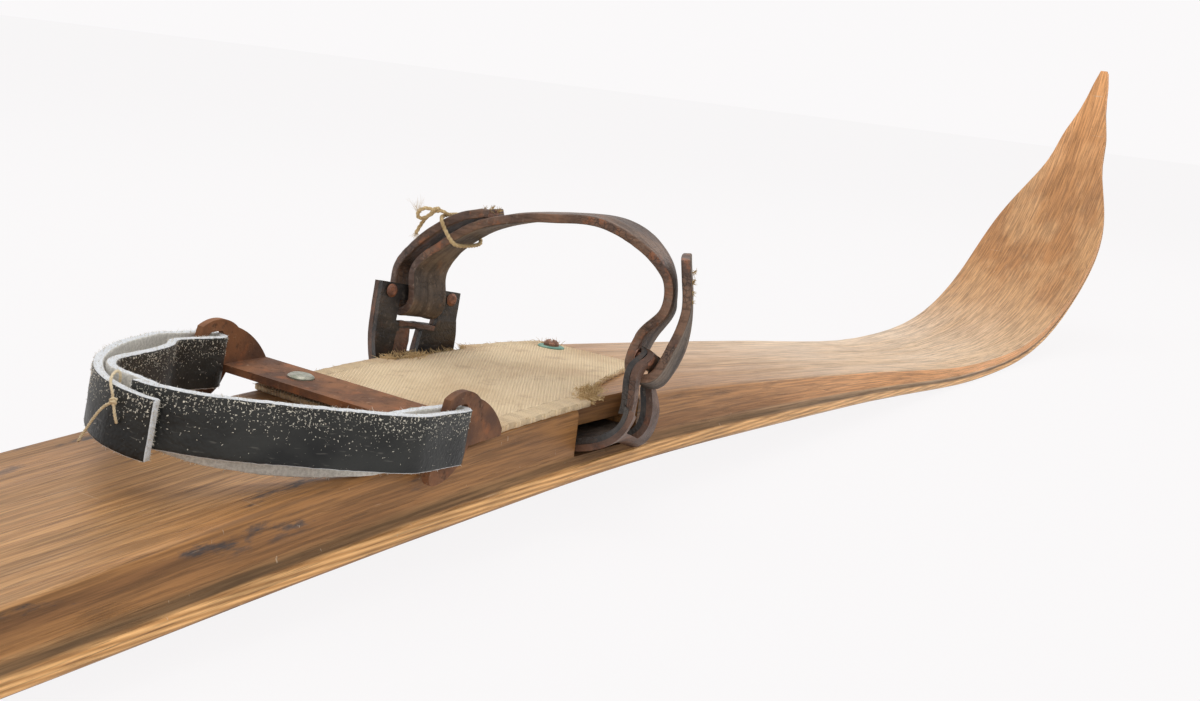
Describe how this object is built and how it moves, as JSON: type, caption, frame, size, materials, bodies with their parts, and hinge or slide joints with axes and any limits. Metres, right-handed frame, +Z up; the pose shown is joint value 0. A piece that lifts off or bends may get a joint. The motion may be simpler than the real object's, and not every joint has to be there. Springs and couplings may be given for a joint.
{
  "type": "antique snow ski with strap binding",
  "caption": "Old wooden snow ski with a turned-up tip, coved sides, a linked leather toe strap, an iron heel plate and a leather heel strap.",
  "frame": {"origin": "on the floor under the middle of the ski's overall length", "axes": "+X towards the turned-up tip, +Y towards the far side of the binding, +Z up"},
  "size_m": [1.7, 0.1225, 0.217],
  "materials": {
    "aged_wood": "satin",
    "canvas_web": "matte",
    "rusty_iron": "matte",
    "grey_steel": "satin",
    "green_copper": "matte",
    "rusty_screw": "satin",
    "brown_leather": "satin",
    "blackened_leather": "satin",
    "copper_rivet": "satin",
    "dark_leather": "satin",
    "twisted_twine": "matte",
    "black_leather": "satin",
    "waxed_twine": "satin"
  },
  "bodies": {
    "ski": {"ski": "aged_wood", "foot_pad": "canvas_web", "cross_iron": "rusty_iron", "iron_screw_far": "grey_steel", "iron_screw_near": "grey_steel", "pad_washer": "green_copper", "pad_screw": "rusty_screw", "mortise_strap": "brown_leather", "mortise_strap_lining": "blackened_leather", "near_rivet_rear": "copper_rivet", "near_rivet_front": "copper_rivet", "far_rivet_rear": "copper_rivet", "far_rivet_front": "copper_rivet", "heel_strap_fold_near": "black_leather", "heel_strap_fold_far": "black_leather", "old_strap_sleeve": "brown_leather"},
    "toe_loop": {"toe_strap": "dark_leather", "toe_twine": "twisted_twine", "toe_twine_knot": "twisted_twine"},
    "heel_loop": {"heel_strap_near_run": "black_leather", "heel_strap_inner_run": "black_leather", "heel_strap_far_run": "black_leather", "heel_twine": "waxed_twine"}
  },
  "joints": [
    {"name": "heel_strap_swing", "type": "hinge", "parent": "ski", "child": "heel_loop", "pos_m": [-0.107, 0, 0.04885], "axis": [-0.0821, 0.9956, 0.0462], "range_deg": [0, 70]},
    {"name": "toe_strap_swing", "type": "hinge", "parent": "ski", "child": "toe_loop", "pos_m": [0.017, -0.052, 0.058], "axis": [-0.1563, 0.9839, 0.0867], "range_deg": [-10, 10]}
  ]
}
